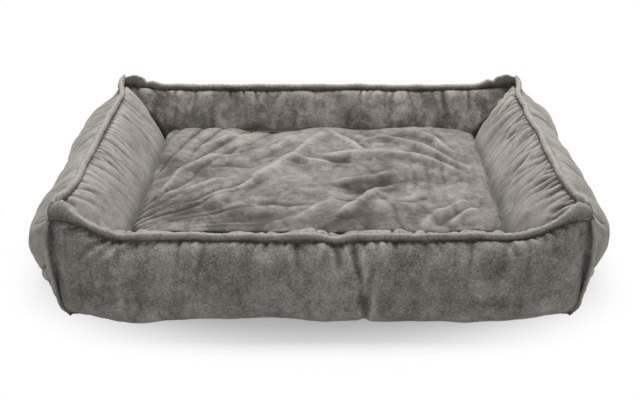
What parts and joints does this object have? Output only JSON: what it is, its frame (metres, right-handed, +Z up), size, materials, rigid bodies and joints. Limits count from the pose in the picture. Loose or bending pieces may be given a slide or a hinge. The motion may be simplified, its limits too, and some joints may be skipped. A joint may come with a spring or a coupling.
{
  "type": "bolster pet bed",
  "caption": "Rectangular plush bolster bed with a low front wall, raised seam flanges, eared corners and a loose, zipped cushion.",
  "frame": {"origin": "on the floor, under the middle of the bed", "axes": "+X along the bed's length to its right end seen from the low front, -Y out of the low front wall, +Z up"},
  "size_m": [0.8008, 0.6015, 0.1882],
  "materials": {
    "plush": "short soft pile, crushed in patches",
    "base_cloth": "plain woven, matt",
    "lining_cloth": "plain woven, matt",
    "wadding": "loose fibre",
    "zip_tape": "woven tape",
    "zip_coil": "satin nylon coil",
    "zip_metal": "satin grey nickel"
  },
  "bodies": {
    "walls": {"front_outer_panel": "plush", "front_inner_panel": "plush", "front_filling": "wadding", "front_top_flange": "plush", "right_outer_panel": "plush", "right_inner_panel": "plush", "right_filling": "wadding", "right_top_flange": "plush", "rear_outer_panel": "plush", "rear_inner_panel": "plush", "rear_filling": "wadding", "rear_top_flange": "plush", "left_outer_panel": "plush", "left_inner_panel": "plush", "left_filling": "wadding", "left_top_flange": "plush", "front_left_corner_flange": "plush", "front_right_corner_flange": "plush", "rear_left_corner_flange": "plush", "rear_right_corner_flange": "plush", "base_panel": "base_cloth", "well_lining": "lining_cloth", "rear_zip_upper_tape": "zip_tape", "rear_zip_lower_tape": "zip_tape", "rear_zip_chain": "zip_coil", "rear_zip_stops": "zip_metal"},
    "cushion": {"cushion_top_panel": "plush", "cushion_bottom_panel": "plush", "cushion_filling": "wadding", "cushion_zip_upper_tape": "zip_tape", "cushion_zip_lower_tape": "zip_tape", "cushion_zip_chain": "zip_coil", "cushion_zip_stops": "zip_metal"},
    "cushion_zip_slider": {"cushion_zip_slider": "zip_metal"},
    "rear_zip_slider": {"rear_zip_slider": "zip_metal"},
    "rear_zip_pull": {"rear_zip_pull": "zip_metal"}
  },
  "joints": [
    {"name": "cushion_lift", "type": "slide", "parent": "walls", "child": "cushion", "axis": [0, 0, 1], "range_m": [0, 0.26]},
    {"name": "cushion_zip_travel", "type": "slide", "parent": "cushion", "child": "cushion_zip_slider", "axis": [-1, 0, 0], "range_m": [0, 0.2978]},
    {"name": "rear_zip_travel", "type": "slide", "parent": "walls", "child": "rear_zip_slider", "axis": [-1, 0, 0], "range_m": [0, 0.3678]},
    {"name": "rear_zip_pull_swing", "type": "hinge", "parent": "rear_zip_slider", "child": "rear_zip_pull", "pos_m": [0.18415, 0.29435, 0.04361], "axis": [0, -0.4148, -0.9099], "range_deg": [0, 180]}
  ]
}
